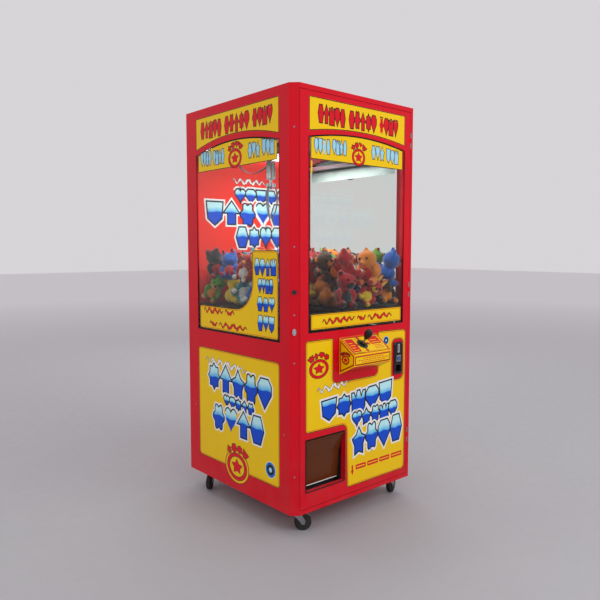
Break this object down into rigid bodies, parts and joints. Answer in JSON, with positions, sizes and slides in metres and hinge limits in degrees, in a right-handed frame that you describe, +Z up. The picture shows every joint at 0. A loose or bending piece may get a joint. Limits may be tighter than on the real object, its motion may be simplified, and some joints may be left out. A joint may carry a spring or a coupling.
{
  "type": "claw crane machine",
  "caption": "Free-standing claw crane machine: glazed steel cabinet on swivel casters with gantry claw, hinged front door, joystick, coin unit and prize flap.",
  "frame": {"origin": "on the floor, under the middle of the outer box, control box and joystick included", "axes": "+Z up, +Y from the front door to the back, +X to the right as seen from the front"},
  "size_m": [0.7507, 0.9263, 1.895],
  "materials": {
    "steel_red": "gloss red paint over folded sheet steel, yellow and blue printed vinyl panels",
    "steel_black": "satin black powder coat",
    "zinc": "bright zinc-plated steel",
    "chrome": "polished chrome",
    "glass": "clear toughened glass",
    "acrylic": "lightly tinted clear acrylic",
    "smoked": "smoked brown moulded plastic",
    "panel_vinyl": "yellow printed vinyl over sheet steel",
    "black_plastic": "textured black moulded plastic",
    "bat_plastic": "gloss black moulded ball top",
    "blue_plastic": "grey-blue lens button",
    "white_plastic": "white diffuser tube",
    "board": "painted plywood",
    "green_board": "circuit board",
    "tyre": "black rubber tyre on a moulded hub",
    "cable": "grey flat cable",
    "cord": "black braided cord",
    "plush": "short-pile plush"
  },
  "bodies": {
    "cabinet": {"left_side_panel": "steel_red", "right_side_panel": "steel_red", "back_panel": "steel_red", "corner_post": "steel_red", "roof_panel": "steel_red", "base_tray": "steel_red", "left_glass": "glass", "right_glass": "glass", "playfield_deck": "board", "chute_guard": "acrylic", "chute_shaft": "steel_black", "ceiling_panel": "steel_black", "lamp_tubes": "white_plastic", "cash_box": "steel_black", "power_supply": "steel_black", "control_board": "green_board", "mains_inlet": "black_plastic", "post_screws": "zinc", "hinge_knuckles": "zinc", "hinge_pins": "zinc", "gantry_rails": "zinc", "trailing_cable": "cable", "plush_toys_lower": "plush", "plush_toys_upper": "plush", "caster_plates": "zinc"},
    "door": {"door_frame": "steel_red", "door_glass": "glass", "control_box": "panel_vinyl", "control_panel": "panel_vinyl", "joystick_housing": "steel_black", "coin_plate": "steel_black", "coin_mech": "steel_black", "flap_rod": "zinc"},
    "lock": {"cam_lock": "black_plastic"},
    "latch": {"latch_handle": "chrome"},
    "rocker": {"power_rocker": "black_plastic"},
    "gimbal": {"joystick_gimbal": "black_plastic"},
    "joystick": {"joystick_shaft": "zinc", "joystick_bat": "bat_plastic"},
    "reject": {"reject_button": "blue_plastic"},
    "flap": {"prize_flap": "smoked"},
    "bridge": {"bridge_beam": "zinc"},
    "carriage": {"carriage": "steel_black"},
    "drum": {"winch_drum": "zinc"},
    "claw": {"claw_head": "chrome", "hoist_cord": "cord"},
    "plunger": {"claw_plunger": "zinc"},
    "finger_1": {"claw_finger_1": "zinc"},
    "finger_2": {"claw_finger_2": "zinc"},
    "finger_3": {"claw_finger_3": "zinc"},
    "fork_fl": {"caster_fork_fl": "zinc"},
    "wheel_fl": {"caster_wheel_fl": "tyre"},
    "fork_fr": {"caster_fork_fr": "zinc"},
    "wheel_fr": {"caster_wheel_fr": "tyre"},
    "fork_rl": {"caster_fork_rl": "zinc"},
    "wheel_rl": {"caster_wheel_rl": "tyre"},
    "fork_rr": {"caster_fork_rr": "zinc"},
    "wheel_rr": {"caster_wheel_rr": "tyre"},
    "pedal_fl": {"brake_pedal_fl": "zinc"},
    "pedal_fr": {"brake_pedal_fr": "zinc"}
  },
  "joints": [
    {"name": "door_hinge", "type": "hinge", "parent": "cabinet", "child": "door", "pos_m": [0.359, -0.36487, 0.995], "axis": [0, 0, 1], "range_deg": [0, 105]},
    {"name": "cam_lock_turn", "type": "hinge", "parent": "cabinet", "child": "lock", "pos_m": [-0.3595, -0.34937, 1.048], "axis": [-0.7071, -0.7071, 0], "range_deg": [0, 90]},
    {"name": "latch_turn", "type": "hinge", "parent": "cabinet", "child": "latch", "pos_m": [-0.3595, -0.34937, 0.882], "axis": [-0.7071, -0.7071, 0], "range_deg": [0, 90]},
    {"name": "power_rocker_tilt", "type": "hinge", "parent": "cabinet", "child": "rocker", "pos_m": [-0.201, 0.45113, 0.331], "axis": [1, 0, 0], "range_deg": [0, 14]},
    {"name": "joystick_fore_aft", "type": "hinge", "parent": "door", "child": "gimbal", "pos_m": [-0.014, -0.39933, 0.78817], "axis": [1, 0, 0], "range_deg": [-12, 12], "stiffness_Nm_per_rad": 0.8},
    {"name": "joystick_side", "type": "hinge", "parent": "gimbal", "child": "joystick", "pos_m": [-0.014, -0.39933, 0.78817], "axis": [0, 0.8167, 0.577], "range_deg": [-12, 12], "stiffness_Nm_per_rad": 0.8},
    {"name": "reject_press", "type": "slide", "parent": "door", "child": "reject", "axis": [0, 1, 0], "range_m": [0, 0.004], "stiffness_N_per_m": 300},
    {"name": "flap_swing", "type": "hinge", "parent": "door", "child": "flap", "pos_m": [-0.308, -0.35887, 0.404], "axis": [1, 0, 0], "range_deg": [0, 60]},
    {"name": "bridge_slide", "type": "slide", "parent": "cabinet", "child": "bridge", "axis": [0, 1, 0], "range_m": [-0.19, 0.3], "deforming": ["trailing_cable"]},
    {"name": "carriage_slide", "type": "slide", "parent": "bridge", "child": "carriage", "axis": [1, 0, 0], "range_m": [-0.005, 0.44]},
    {"name": "claw_hoist", "type": "slide", "parent": "carriage", "child": "claw", "axis": [0, 0, -1], "range_m": [0, 0.12], "deforming": ["hoist_cord"]},
    {"name": "drum_turn", "type": "hinge", "parent": "carriage", "child": "drum", "pos_m": [-0.2202, -0.00287, 1.6903], "axis": [0, 1, 0], "range_deg": [0, 457.3]},
    {"name": "plunger_slide", "type": "slide", "parent": "claw", "child": "plunger", "axis": [0, 0, -1], "range_m": [0, 0.012]},
    {"name": "finger_1_swing", "type": "hinge", "parent": "claw", "child": "finger_1", "pos_m": [-0.205, 0.01713, 1.521], "axis": [1, 0, 0], "range_deg": [0, 36]},
    {"name": "finger_2_swing", "type": "hinge", "parent": "claw", "child": "finger_2", "pos_m": [-0.22232, -0.01287, 1.521], "axis": [-0.5, 0.866, 0], "range_deg": [0, 36]},
    {"name": "finger_3_swing", "type": "hinge", "parent": "claw", "child": "finger_3", "pos_m": [-0.18768, -0.01287, 1.521], "axis": [-0.5, -0.866, 0], "range_deg": [0, 36]},
    {"name": "caster_swivel_fl", "type": "hinge", "parent": "cabinet", "child": "fork_fl", "pos_m": [-0.307, -0.29487, 0.089], "axis": [0, 0, 1], "continuous": true},
    {"name": "caster_roll_fl", "type": "hinge", "parent": "fork_fl", "child": "wheel_fl", "pos_m": [-0.28178, -0.31457, 0.0375], "axis": [-0.6157, -0.788, 0], "continuous": true},
    {"name": "caster_swivel_fr", "type": "hinge", "parent": "cabinet", "child": "fork_fr", "pos_m": [0.307, -0.29487, 0.089], "axis": [0, 0, 1], "continuous": true},
    {"name": "caster_roll_fr", "type": "hinge", "parent": "fork_fr", "child": "wheel_fr", "pos_m": [0.3376, -0.28552, 0.0375], "axis": [0.2924, -0.9563, 0], "continuous": true},
    {"name": "caster_swivel_rl", "type": "hinge", "parent": "cabinet", "child": "fork_rl", "pos_m": [-0.307, 0.37013, 0.089], "axis": [0, 0, 1], "continuous": true},
    {"name": "caster_roll_rl", "type": "hinge", "parent": "fork_rl", "child": "wheel_rl", "pos_m": [-0.33151, 0.34956, 0.0375], "axis": [-0.6428, 0.766, 0], "continuous": true},
    {"name": "caster_swivel_rr", "type": "hinge", "parent": "cabinet", "child": "fork_rr", "pos_m": [0.307, 0.37013, 0.089], "axis": [0, 0, 1], "continuous": true},
    {"name": "caster_roll_rr", "type": "hinge", "parent": "fork_rr", "child": "wheel_rr", "pos_m": [0.28774, 0.39568, 0.0375], "axis": [0.7986, 0.6018, 0], "continuous": true},
    {"name": "brake_pedal_lift_fl", "type": "hinge", "parent": "fork_fl", "child": "pedal_fl", "pos_m": [-0.29518, -0.30411, 0.0775], "axis": [-0.6157, -0.788, 0], "range_deg": [0, 12]},
    {"name": "brake_pedal_lift_fr", "type": "hinge", "parent": "fork_fr", "child": "pedal_fr", "pos_m": [0.32134, -0.29049, 0.0775], "axis": [0.2924, -0.9563, 0], "range_deg": [0, 12]}
  ],
  "couplings": [
    {"joint": "drum_turn", "follows": "claw_hoist", "rad_per_m": 65.79},
    {"joint": "finger_1_swing", "follows": "plunger_slide", "rad_per_m": 51.633},
    {"joint": "finger_2_swing", "follows": "plunger_slide", "rad_per_m": 51.633},
    {"joint": "finger_3_swing", "follows": "plunger_slide", "rad_per_m": 51.633}
  ]
}
